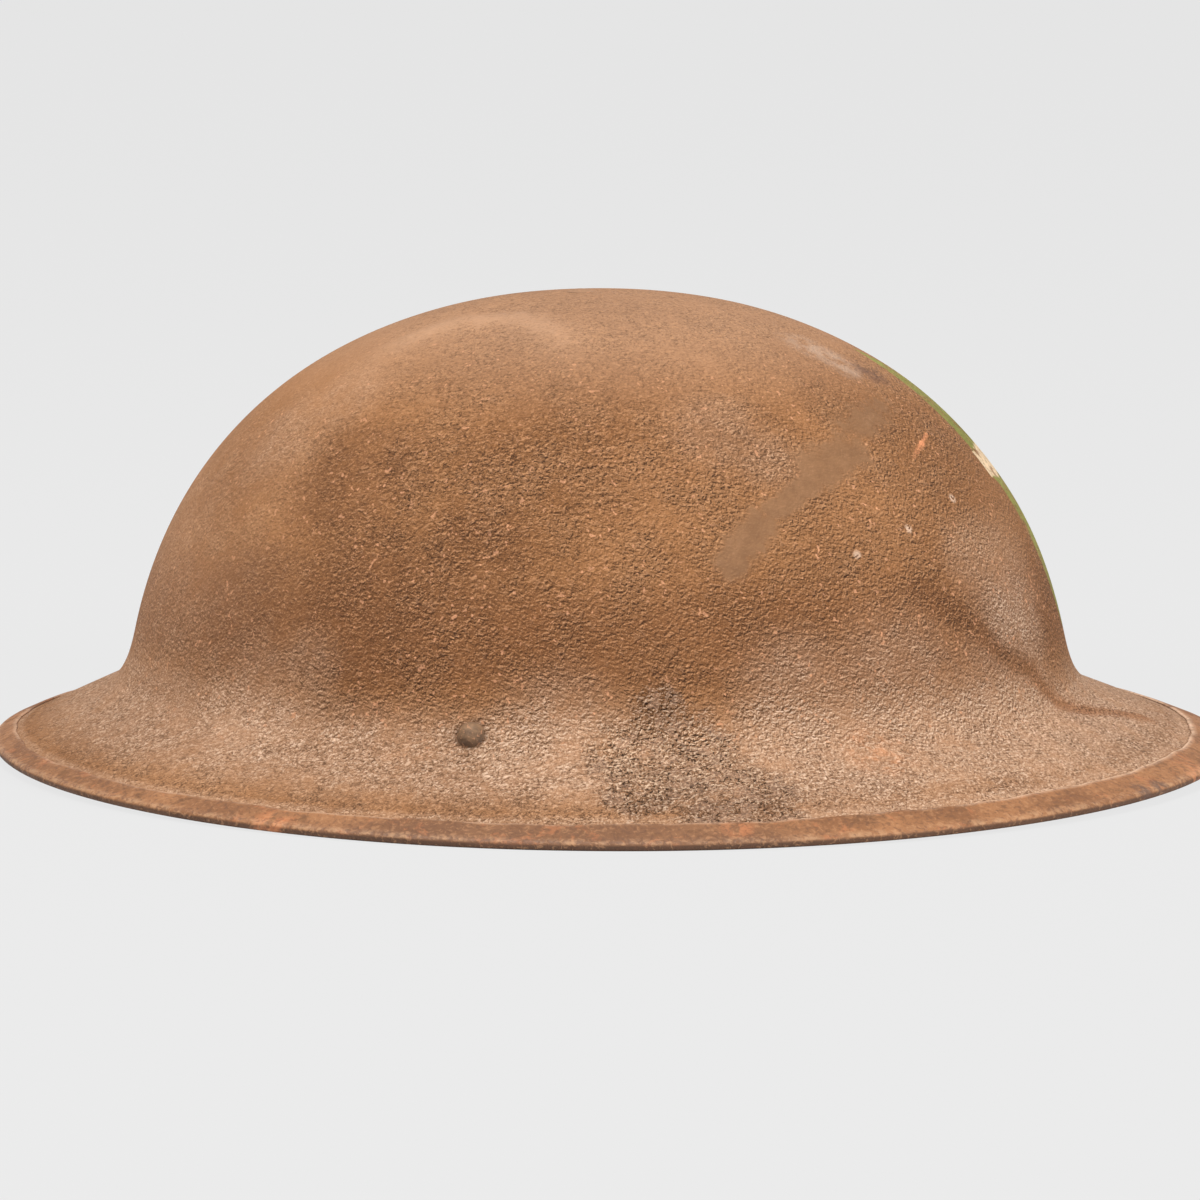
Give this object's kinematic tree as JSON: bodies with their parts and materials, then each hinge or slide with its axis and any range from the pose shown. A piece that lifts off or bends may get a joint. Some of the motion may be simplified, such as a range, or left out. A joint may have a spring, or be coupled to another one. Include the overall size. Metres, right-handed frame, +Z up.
{
  "type": "brodie helmet",
  "caption": "Shallow steel soldier's helmet with a wide brim, bound rim, net and headband lining on rubber buffers, and a tucked-away chin strap.",
  "frame": {"origin": "centre of the helmet's outline, on the surface that the rim rests on", "axes": "+X to the wearer's front, +Y to the wearer's left, +Z up through the crown"},
  "size_m": [0.3108, 0.2898, 0.1165],
  "materials": {
    "sand_paint": "rough sand-textured brown paint, worn and rusting",
    "rim_paint": "smooth orange-brown paint with rust",
    "rusty_steel": "painted over and rusty",
    "plain_steel": "dull",
    "felt": "grey felt",
    "oilcloth": "black oilcloth with a dull sheen",
    "rubber": "aged grey-black rubber",
    "headband_leather": "brown leather, worn",
    "net_cord": "twisted cotton cord",
    "lug_steel": "dull, stained",
    "bail_wire": "dull",
    "strap_leather": "brown strap leather, creased",
    "brass": "tarnished"
  },
  "bodies": {
    "helmet": {"shell": "sand_paint", "rim_binding": "rim_paint", "crown_rivet": "rusty_steel", "crown_washer": "plain_steel", "crown_pad": "felt", "cradle_band_long": "oilcloth", "cradle_band_cross": "oilcloth", "buffer_band": "oilcloth", "rubber_buffer_1": "rubber", "rubber_buffer_2": "rubber", "rubber_buffer_3": "rubber", "rubber_buffer_4": "rubber", "rubber_buffer_5": "rubber", "rubber_buffer_6": "rubber", "rubber_buffer_7": "rubber", "rubber_buffer_8": "rubber", "rubber_buffer_9": "rubber", "rubber_buffer_10": "rubber", "rubber_buffer_11": "rubber", "rubber_buffer_12": "rubber", "headband": "headband_leather", "net_cap": "net_cord", "net_drawcord": "net_cord", "bail_lug_right": "lug_steel", "bail_lug_left": "lug_steel", "lug_rivet_right": "rusty_steel", "lug_rivet_left": "rusty_steel", "chinstrap_long": "strap_leather", "chinstrap_short": "strap_leather"},
    "right_bail": {"bail_right": "bail_wire", "strap_rivet_right": "brass"},
    "left_bail": {"bail_left": "bail_wire", "strap_rivet_left": "brass"},
    "buckle": {"strap_buckle": "brass"},
    "keeper": {"strap_keeper": "strap_leather"}
  },
  "joints": [
    {"name": "right_bail_swing", "type": "hinge", "parent": "helmet", "child": "right_bail", "pos_m": [-0.02609, -0.10944, 0.01348], "axis": [0.9844, -0.1758, 0], "range_deg": [-20, 40], "deforming": ["chinstrap_long"]},
    {"name": "left_bail_swing", "type": "hinge", "parent": "helmet", "child": "left_bail", "pos_m": [-0.02609, 0.10944, 0.01348], "axis": [-0.9844, -0.1758, 0], "range_deg": [-20, 40], "deforming": ["chinstrap_short"]},
    {"name": "buckle_slide", "type": "slide", "parent": "helmet", "child": "buckle", "axis": [0, 1, 0], "range_m": [-0.003, 0.005]},
    {"name": "keeper_slide", "type": "slide", "parent": "helmet", "child": "keeper", "axis": [0, 1, 0], "range_m": [-0.003, 0.003]}
  ]
}
